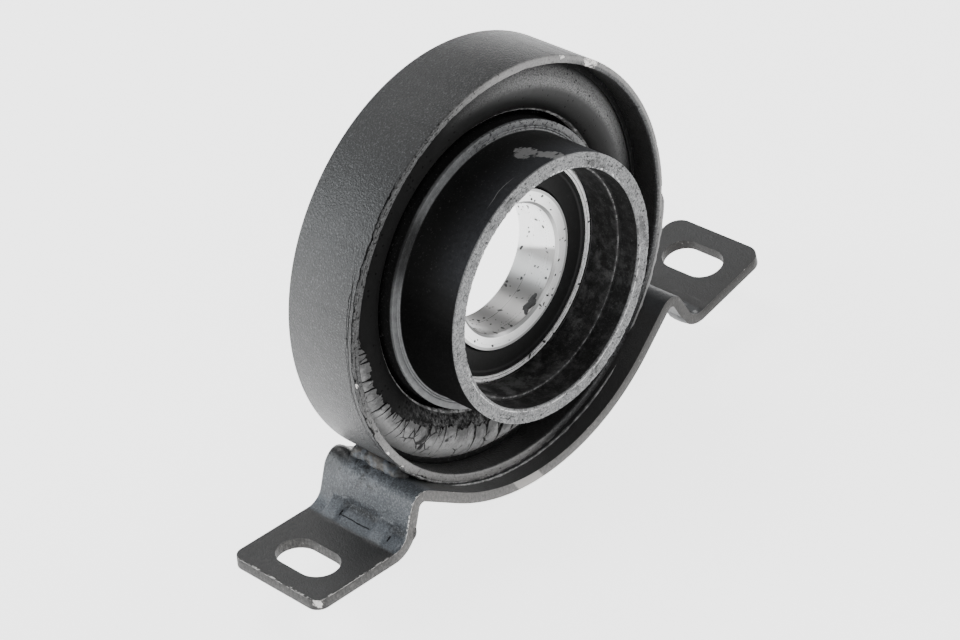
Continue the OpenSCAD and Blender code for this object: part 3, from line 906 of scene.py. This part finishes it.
lacquer = Finish("dry_lacquer")
inward = lacquer.add("SeparateXYZ", {}, {0: lacquer.add("TexCoord", out="UV")}, out="Y")
# The plates darken towards their inner edges: the film's own darker, rougher edge, and painted shade on the
# roll's inner flank.
edge_black = lacquer.ramp(inward + 0.9 * lacquer.cloud(2.4, 4, 0.7), 0.86, 1.36)
pores = lacquer.blotch(0.60, 0.68, 0.7, 3, 0.6)
crazing = lacquer.ramp(lacquer.cells(4.2, "DISTANCE_TO_EDGE"), 0.045, 0.02)
crazing = crazing * lacquer.blotch(0.46, 0.54, 5, 2)
film_colour = lacquer.layers(
    grey(0.12),
    (lacquer.cloud(3, 4, 0.7), grey(0.30)),
    (0.85 * edge_black, grey(0.012)),
    (0.4 * pores + 0.8 * crazing, grey(0.006)))
lacquer.coat(Base_Color=film_colour,
             Metallic=0.8 * crazing,
             Roughness=0.30 + 0.3 * edge_black + 0.2 * lacquer.cloud(1.5, 3),
             Normal=lacquer.relief(lacquer.cloud(1.6, 3) + 0.5 * lacquer.cloud(0.5, 2) - crazing, 0.16))
settle(film, "housing", "mount_rubber", [lacquer])

# Torn lacquer
# Beads of the same lacquer that squeezed out and tore: along the rim's foot, on the cradle in front of it,
# and down the rim's right edge. Shreds of rubber flash hang round the bearing's face.
bead_sides = 10
bead_cell = 0.3 * mm
foot_r = ring_r + 0.2 * mm
foot_y = ring_front + 0.5 * mm
line_r = cradle_r - 0.1 * mm
line_y = ring_front - 0.9 * mm
flash_r = 30.95 * mm
flash_y = -bearing_half + 0.1 * mm


def arc_bead(name, radius, depth, thick, start, end, seed, torn=1.0):
    """An uneven bead on an arc about the shaft, thinned to nothing at its ends and where it has torn."""
    sides = [math.tau * k / bead_sides for k in range(bead_sides + 1)]
    outline = [(radius + thick * math.cos(a), depth + thick * math.sin(a)) for a in sides]
    first = math.radians(start)
    sweep = math.radians(end - start)
    bead = turn_piece(name, outline, round(radius * sweep / bead_cell), start=first, sweep=sweep)
    for vertex in bead.data.vertices:
        middle = outward(vertex.co) * radius + Vector((0, depth, 0))
        turned = (math.atan2(vertex.co.z, vertex.co.x) - first) % math.tau / sweep
        taper = smooth_step(min(turned, 1 - turned), 0, 0.08) if turned < 1.01 else 0
        waver = 0.8 * rough(middle, 3.0 * mm, seed) + 0.35 * rough(vertex.co, 0.9 * mm, seed)
        full = max(0.75 + torn * waver, 0.02)
        vertex.co = middle + (vertex.co - middle) * taper * full
    close_skin()
    bpy.ops.object.shade_smooth()
    return bead


rim_foot = arc_bead("rim_foot_lacquer", foot_r, foot_y, 0.6 * mm, -150, -82, 4, 0.4)
rim_line = arc_bead("rim_line_lacquer", line_r, line_y, 0.45 * mm, -127, -58, 14, 0.6)
rim_burr = arc_bead("rim_burr_lacquer", foot_r, foot_y, 0.85 * mm, -50, -9, 8, 0.3)
race_flash = [arc_bead("race_flash", flash_r, flash_y, 0.2 * mm, start, start + 73, start)
              for start in (15, 105, 195, 285)]
torn = join_pieces("torn_lacquer", [rim_foot, rim_line, rim_burr] + race_flash)
torn_skin = Finish("torn_skin")
skin_light = torn_skin.blotch(0.45, 0.6, 1.6, 4, 0.7)
line_front = ring_front / mm - 0.4
# Painted highlight: the bead on the cradle in front of the rim is painted pale grey, standing in for the
# gloss on it.
line_bead_highlight = torn_skin.fade("Y", line_front, line_front - 0.15)
skin_colour = torn_skin.layers(
    grey(0.012),
    (skin_light, grey(0.13)),
    (torn_skin.fade("X", 20, 30), grey(0.16)),
    (line_bead_highlight * (0.3 + 0.7 * skin_light), grey(0.26)),
    (torn_skin.ramp(torn_skin.radius(), 40, 39), grey(0.008)))
torn_skin.coat(Base_Color=skin_colour,
               Roughness=0.34 + 0.25 * torn_skin.cloud(0.9, 3),
               Normal=torn_skin.relief(torn_skin.cloud(0.6, 3), 0.12))
settle(torn, "housing", "mount_rubber", [torn_skin])

# Ball bearing
# Ground steel races, black rubber seals pressed into the outer race, and behind them a riveted cage of
# polished balls. The inner race turns with the shaft, and these pieces keep the frame's own shapes.
bore_r = 17.5 * mm
inner_land_r = 21.8 * mm
outer_land_r = 29 * mm
steel = Finish("ground_steel")
radial = steel.radius()
lathe_mark = steel.add("CombineXYZ", {}, {"X": radial, "Y": steel.along("Y") * 0.2})
turned = steel.add("TexNoise", {}, {"Vector": lathe_mark, "Scale": 9.0, "Detail": 2.0}, out="Fac")
smudge = steel.blotch(0.52, 0.75, 5, 4, 0.6)
bore = bore_r / mm
inner_land = inner_land_r / mm
outer_land = outer_land_r / mm
race_line = steel.band(radial, outer_land + 0.32, outer_land + 0.5, 0.05)
# Painted highlight: the outer race's face is painted near white and made less metallic, so that it shows as a
# white ring.
outer_face_highlight = steel.ramp(radial, outer_land - 1, outer_land - 0.5)
at_face = steel.fade("Y", -6.0, -6.3)
# Painted dark reflection: the bore's chamfer and the inner race's land chamfer are painted darker on the
# front face.
chamfer_dark_reflection = steel.band(radial, bore + 0.08, bore + 0.78, 0.04)
chamfer_dark_reflection = chamfer_dark_reflection + steel.band(radial, inner_land - 0.85, inner_land, 0.06)
in_bore = steel.ramp(radial, bore + 0.2, bore + 0.05)
# Painted dark reflection: a darker band painted low in the bore.
bore_dark_reflection = steel.ramp(steel.along("Z") + 0.3 * steel.along("Y"), -5.0, -6.5)
mottle = outer_face_highlight * steel.blotch(0.5, 0.64, 1.3, 4, 0.7)
steel_colour = steel.layers(
    grey(0.88),
    (0.3 * smudge, grey(0.62, 0.02)),
    (outer_face_highlight, grey(0.95)),
    (0.75 * chamfer_dark_reflection * at_face, grey(0.24)),
    (0.95 * in_bore * bore_dark_reflection, grey(0.22, 0.02)),
    (0.5 * mottle, grey(0.3)),
    (0.9 * race_line, grey(0.02)))
steel.coat(Base_Color=steel_colour,
           Metallic=0.6 - 0.4 * outer_face_highlight,
           Roughness=0.24 + 0.10 * turned + 0.06 * smudge + 0.12 * outer_face_highlight,
           Normal=steel.relief(turned * (1 - in_bore), 0.004))
seal_rubber = Finish("seal_rubber")
seal_dust = seal_rubber.blotch(0.55, 0.75, 1.4, 5, 0.75)
seal_rubber.coat(Base_Color=seal_rubber.tint(0.5 * seal_dust, grey(0.005), grey(0.022)),
                 Roughness=0.42 + 0.2 * seal_rubber.cloud(1.2, 3),
                 Specular_IOR_Level=0.16,
                 Normal=seal_rubber.relief(seal_rubber.cloud(0.4, 3), 0.04))
pressed_steel = Finish("pressed_steel")
pressed_steel.coat(Base_Color=pressed_steel.tint(pressed_steel.cloud(2, 4), grey(0.42), grey(0.58)),
                   Metallic=1.0,
                   Roughness=0.34 + 0.15 * pressed_steel.cloud(0.8, 3))
polished_steel = Finish("polished_steel")
polished_steel.coat(Base_Color=polished_steel.tint(polished_steel.cloud(3, 3), grey(0.72), grey(0.80)),
                    Metallic=1.0,
                    Roughness=0.06 + 0.05 * polished_steel.cloud(1.5, 3))
finish_of = {"race_steel": steel, "seal_rubber": seal_rubber, "cage_steel": pressed_steel,
             "ball_steel": polished_steel}
for subpart in frame["record"]["subparts"]:
    if subpart["material_slot"] in finish_of:
        shell = frame["nodes"][subpart["node"]]
        shell.data.materials.clear()
        shell.data.materials.append(finish_of[subpart["material_slot"]].material)

# Rubber crumbs
# Flecks of cut rubber that fell into the bore and onto the bearing's faces, and one smudge at the bore's
# mouth. Those in the bore and on the inner race turn with it, and the others stay with the outer race.
crumb_seed = 23
bore_count = 150
inner_count = 40
outer_count = 44
smudge_flecks = ((-68, -5.0, 1.1), (-62, -4.6, 0.8), (-74, -5.3, 0.7))


def crumb(place, facing, size, chance):
    """One torn fleck, flattened against the surface that it lies on."""
    bpy.ops.object.select_all(action="DESELECT")
    bpy.ops.mesh.primitive_ico_sphere_add(subdivisions=2, radius=1)
    fleck = bpy.context.object
    spin = chance.uniform(0, math.tau)
    long_side = facing.orthogonal().normalized()
    long_side = (Matrix.Rotation(spin, 3, facing) @ long_side).normalized()
    wide_side = facing.cross(long_side)
    stretch = chance.uniform(1.0, 2.2)
    jag = chance.uniform(0, 50)
    for vertex in fleck.data.vertices:
        ragged = 1 + 0.55 * rough(vertex.co, 0.7, jag)
        shaped = vertex.co * ragged * size
        vertex.co = place + long_side * shaped.x * stretch + wide_side * shaped.y + facing * shaped.z * 0.3
    return fleck


def crumb_in_bore(degrees, depth, size, chance):
    inward = -outward(round_axis(1, 0, degrees))
    return crumb(round_axis(bore_r, depth, degrees), inward, size, chance)


def crumbs_on_face(count, near, far, sizes, chance):
    """Flecks on the bearing's front face, between two radii in millimetres."""
    flecks = []
    for k in range(count):
        degrees = chance.uniform(-180, 180)
        radius = chance.uniform(near, far) * mm
        size = chance.choice(sizes) * mm
        flecks.append(crumb(round_axis(radius, -bearing_half, degrees), Vector((0, -1, 0)), size, chance))
    return flecks


chance = random.Random(crumb_seed)
bore_flecks = []
for k in range(bore_count):
    degrees = chance.uniform(-180, 180)
    depth = chance.uniform(-6.0, 6.0) * mm
    size = chance.choice((0.12, 0.18, 0.18, 0.26, 0.36)) * mm
    bore_flecks.append(crumb_in_bore(degrees, depth, size, chance))
for degrees, depth, size in smudge_flecks:
    bore_flecks.append(crumb_in_bore(degrees, depth * mm, size * mm, chance))
bore_flecks += crumbs_on_face(inner_count, 18.4, 20.8, (0.12, 0.2, 0.3), chance)
flecks_in_bore = join_pieces("bore_crumbs", bore_flecks)
seat_flecks = crumbs_on_face(outer_count, 29.2, 30.8, (0.14, 0.2, 0.34), chance)
flecks_on_seat = join_pieces("seat_crumbs", seat_flecks)
crumb_rubber = Finish("crumb_rubber")
crumb_rubber.coat(Base_Color=crumb_rubber.tint(crumb_rubber.cloud(0.3, 3), grey(0.006), grey(0.03)),
                  Roughness=0.5 + 0.2 * crumb_rubber.cloud(0.5, 2))
settle(flecks_in_bore, "shaft_race", "seal_rubber", [crumb_rubber])
settle(flecks_on_seat, "housing", "seal_rubber", [crumb_rubber])

# Studio
# A plain pale floor under the cradle, four soft panels round the part and above it, pale walls that are
# brightest near the floor, and a camera at the photograph's place.
floor_reach = 6.0
eye = Vector((-0.40610, -0.46103, 0.43652))
eye_right = Vector((0.68014, -0.72069, -0.13419))
eye_up = Vector((0.51009, 0.33379, 0.79271))
eye_back = Vector((-0.52651, -0.60761, 0.59465))
eye_lens = 111.02
eye_sensor = 36
wall_heights = (0.05, 0.5)
wall_glows = (1.4, 0.3)

bpy.ops.object.select_all(action="DESELECT")
bpy.ops.mesh.primitive_plane_add(size=floor_reach, location=(0, 0, floor_z))
floor = bpy.context.object
floor.name = "studio_floor"
floor_paint = Finish("floor_paint")
floor_colour = floor_paint.tint(floor_paint.cloud(400, 2), grey(0.88), grey(0.90))
floor_paint.coat(Base_Color=floor_colour, Roughness=0.9, Emission_Color=floor_colour, Emission_Strength=3.0)
floor.data.materials.append(floor_paint.material)


def soft_light(name, place, size, power, colour=(1, 1, 1)):
    """A square softbox that faces the bearing."""
    bpy.ops.object.light_add(type="AREA", location=place)
    lamp = bpy.context.object
    lamp.name = name
    lamp.data.size = size
    lamp.data.energy = power
    lamp.data.color = colour
    lamp.rotation_euler = Vector(place).to_track_quat("Z", "Y").to_euler()


soft_light("left_panel", (-0.82, 0.82, 0.46), 0.66, 9, (0.92, 0.97, 1.0))
soft_light("top_panel", (0.30, 0.80, 1.20), 0.7, 5.5)
soft_light("right_panel", (1.15, -0.42, 0.28), 0.6, 8)
soft_light("front_panel", (-0.55, -1.1, 0.9), 0.7, 3)
sky = bpy.data.worlds.new("studio_walls")
sky.use_nodes = True
walls = sky.node_tree
facing = walls.nodes.new("ShaderNodeTexCoord")
height = walls.nodes.new("ShaderNodeSeparateXYZ")
dimming = walls.nodes.new("ShaderNodeMapRange")
for socket, value in zip(dimming.inputs[1:5], wall_heights + wall_glows):
    socket.default_value = value
walls.links.new(facing.outputs["Generated"], height.inputs[0])
walls.links.new(height.outputs["Z"], dimming.inputs[0])
walls.links.new(dimming.outputs[0], walls.nodes["Background"].inputs["Strength"])
walls.nodes["Background"].inputs["Color"].default_value = (1, 1, 1, 1)
bpy.context.scene.world = sky

bpy.ops.object.camera_add(location=eye)
camera = bpy.context.object
camera.data.lens = eye_lens
camera.data.sensor_width = eye_sensor
turn = Matrix((eye_right, eye_up, eye_back)).transposed().to_4x4()
camera.matrix_world = Matrix.Translation(eye) @ turn
bpy.context.scene.camera = camera
